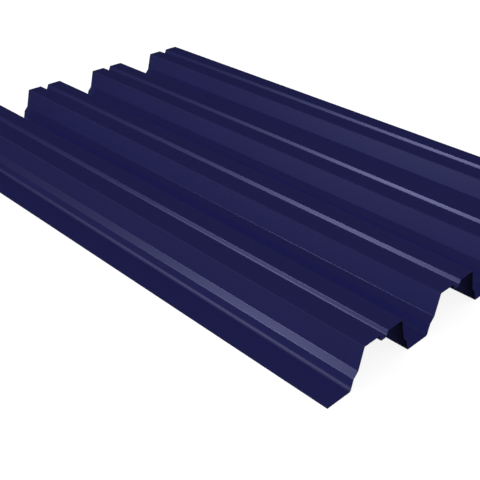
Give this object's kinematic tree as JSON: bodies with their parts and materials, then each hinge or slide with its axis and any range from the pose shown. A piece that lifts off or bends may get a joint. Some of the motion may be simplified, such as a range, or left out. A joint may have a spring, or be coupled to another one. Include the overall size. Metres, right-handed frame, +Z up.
{
  "type": "profiled steel sheet",
  "caption": "Coated steel sheet roll-formed into deep trapezoidal waves with stepped webs and a stiffening groove along each wide crest, for roof decks and facades.",
  "frame": {"origin": "middle of the sheet's length and width, on the level surface that its troughs lie on", "axes": "+Z up out of the crests, +Y along the waves, +X across the waves"},
  "size_m": [0.8, 1.184, 0.07],
  "materials": {
    "blue_coating": "satin ultramarine polymer coating on both faces"
  },
  "bodies": {
    "root": {"profiled_sheet": "blue_coating"}
  },
  "joints": []
}
